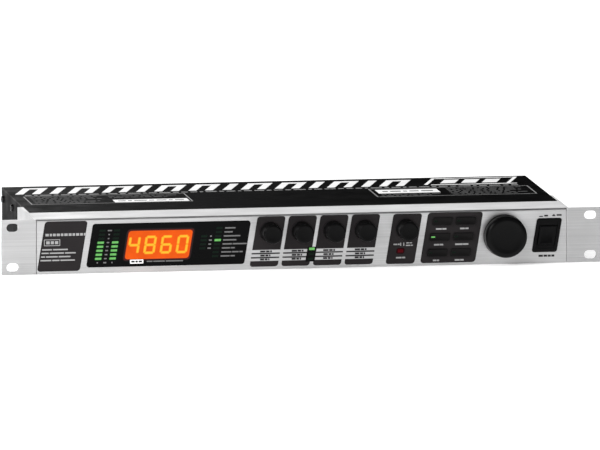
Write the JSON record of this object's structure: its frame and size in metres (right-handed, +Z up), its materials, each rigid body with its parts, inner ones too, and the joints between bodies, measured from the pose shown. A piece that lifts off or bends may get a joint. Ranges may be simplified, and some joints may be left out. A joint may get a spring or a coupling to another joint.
{
  "type": "rack effects unit",
  "caption": "Low rack-mount effects processor with slotted ears, a display window, rotary knobs, push buttons, a jog wheel, a power button and rear connectors.",
  "frame": {"origin": "centre of the four rack slots, in the plane of the ears' rear faces", "axes": "+X to the right seen from the front, +Y to the rear, away from the user, +Z up"},
  "size_m": [0.4826, 0.21, 0.044],
  "materials": {
    "black_steel": "satin black powder coat, fine texture",
    "brushed_front": "horizontally brushed, clear anodised",
    "brushed_ear": "horizontally brushed, clear anodised",
    "smoked_lens": "smoked acrylic, polished",
    "lcd_amber": "backlit amber display",
    "led_bar": "diffused bar lamps",
    "circuit_board": "green solder mask",
    "chip_plastic": "moulded black",
    "transformer_iron": "laminated core",
    "zinc_steel": "zinc plated",
    "ribbon_grey": "flat cable",
    "gloss_black": "gloss black",
    "button_black": "fine matt moulding",
    "knob_black": "soft-touch matt",
    "wheel_black": "satin, turned face",
    "connector_plastic": "glass-filled black",
    "nickel": "nickel plated",
    "gold_contact": "gold plated",
    "fuse_glass": "clear glass tube",
    "black_screw": "black oxide"
  },
  "bodies": {
    "chassis": {"board_posts": "zinc_steel", "chassis_tray": "black_steel", "connector_screws": "black_screw", "control_board": "circuit_board", "cover_screws": "black_screw", "display_board": "circuit_board", "display_lens": "smoked_lens", "ear_screws": "black_screw", "effect_leds": "led_bar", "encoder_bodies": "zinc_steel", "front_panel": "brushed_front", "inlet_blades": "nickel", "jack_nuts": "nickel", "lcd_module": "lcd_amber", "level_switch_body": "connector_plastic", "main_board": "circuit_board", "mains_inlet": "connector_plastic", "mains_transformer": "transformer_iron", "meter_leds": "led_bar", "midi_sockets": "connector_plastic", "panel_lamps": "led_bar", "phone_jacks": "connector_plastic", "power_switch_body": "chip_plastic", "power_switch_frame": "gloss_black", "rack_ear_left": "brushed_ear", "rack_ear_right": "brushed_ear", "rear_panel": "black_steel", "ribbon_cable": "ribbon_grey", "signal_chips": "chip_plastic", "supply_board": "circuit_board", "tact_switches": "chip_plastic", "top_cover": "black_steel", "xlr_inputs": "connector_plastic", "xlr_outputs": "connector_plastic", "xlr_pins": "gold_contact"},
    "edit_knob_1_body": {"edit_knob_1": "knob_black", "edit_shaft_1": "zinc_steel"},
    "edit_knob_2_body": {"edit_knob_2": "knob_black", "edit_shaft_2": "zinc_steel"},
    "edit_knob_3_body": {"edit_knob_3": "knob_black", "edit_shaft_3": "zinc_steel"},
    "edit_knob_4_body": {"edit_knob_4": "knob_black", "edit_shaft_4": "zinc_steel"},
    "modifier_push": {"modifier_push_rod": "chip_plastic"},
    "modifier_knob_body": {"modifier_knob": "knob_black", "modifier_shaft": "zinc_steel"},
    "jog_wheel_body": {"jog_wheel": "wheel_black", "wheel_shaft": "zinc_steel"},
    "button_1_body": {"button_1": "button_black"},
    "button_2_body": {"button_2": "button_black"},
    "button_3_body": {"button_3": "button_black"},
    "button_4_body": {"button_4": "button_black"},
    "button_5_body": {"button_5": "button_black"},
    "button_6_body": {"button_6": "button_black"},
    "power_button_body": {"power_button": "button_black"},
    "fuse_drawer_body": {"fuse_drawer": "connector_plastic", "fuse": "fuse_glass"},
    "level_cap_body": {"level_switch_cap": "button_black"},
    "latch_left_body": {"xlr_latch_left": "nickel"},
    "latch_right_body": {"xlr_latch_right": "nickel"}
  },
  "joints": [
    {"name": "edit_turn_1", "type": "hinge", "parent": "chassis", "child": "edit_knob_1_body", "pos_m": [-0.0258, -0.002, 0.008], "axis": [0, -1, 0], "continuous": true},
    {"name": "edit_turn_2", "type": "hinge", "parent": "chassis", "child": "edit_knob_2_body", "pos_m": [-0.0004, -0.002, 0.008], "axis": [0, -1, 0], "continuous": true},
    {"name": "edit_turn_3", "type": "hinge", "parent": "chassis", "child": "edit_knob_3_body", "pos_m": [0.025, -0.002, 0.008], "axis": [0, -1, 0], "continuous": true},
    {"name": "edit_turn_4", "type": "hinge", "parent": "chassis", "child": "edit_knob_4_body", "pos_m": [0.0504, -0.002, 0.008], "axis": [0, -1, 0], "continuous": true},
    {"name": "modifier_press", "type": "slide", "parent": "chassis", "child": "modifier_push", "axis": [0, 1, 0], "range_m": [0, 0.0005], "stiffness_N_per_m": 1200},
    {"name": "modifier_turn", "type": "hinge", "parent": "modifier_push", "child": "modifier_knob_body", "pos_m": [0.0837, -0.002, 0.008], "axis": [0, -1, 0], "continuous": true},
    {"name": "wheel_turn", "type": "hinge", "parent": "chassis", "child": "jog_wheel_body", "pos_m": [0.163, -0.002, 0.00095], "axis": [0, -1, 0], "continuous": true},
    {"name": "button_press_1", "type": "slide", "parent": "chassis", "child": "button_1_body", "axis": [0, 1, 0], "range_m": [0, 0.0007], "stiffness_N_per_m": 500},
    {"name": "button_press_2", "type": "slide", "parent": "chassis", "child": "button_2_body", "axis": [0, 1, 0], "range_m": [0, 0.0007], "stiffness_N_per_m": 500},
    {"name": "button_press_3", "type": "slide", "parent": "chassis", "child": "button_3_body", "axis": [0, 1, 0], "range_m": [0, 0.0007], "stiffness_N_per_m": 500},
    {"name": "button_press_4", "type": "slide", "parent": "chassis", "child": "button_4_body", "axis": [0, 1, 0], "range_m": [0, 0.0007], "stiffness_N_per_m": 500},
    {"name": "button_press_5", "type": "slide", "parent": "chassis", "child": "button_5_body", "axis": [0, 1, 0], "range_m": [0, 0.0007], "stiffness_N_per_m": 500},
    {"name": "button_press_6", "type": "slide", "parent": "chassis", "child": "button_6_body", "axis": [0, 1, 0], "range_m": [0, 0.0007], "stiffness_N_per_m": 500},
    {"name": "power_press", "type": "slide", "parent": "chassis", "child": "power_button_body", "axis": [0, 1, 0], "range_m": [-0.0035, 0]},
    {"name": "fuse_drawer_slide", "type": "slide", "parent": "chassis", "child": "fuse_drawer_body", "axis": [0, 1, 0], "range_m": [0, 0.02]},
    {"name": "level_slide", "type": "slide", "parent": "chassis", "child": "level_cap_body", "axis": [1, 0, 0], "range_m": [0, 0.003]},
    {"name": "latch_press_left", "type": "slide", "parent": "chassis", "child": "latch_left_body", "axis": [0, -1, 0], "range_m": [0, 0.0015], "stiffness_N_per_m": 500},
    {"name": "latch_press_right", "type": "slide", "parent": "chassis", "child": "latch_right_body", "axis": [0, -1, 0], "range_m": [0, 0.0015], "stiffness_N_per_m": 500}
  ]
}
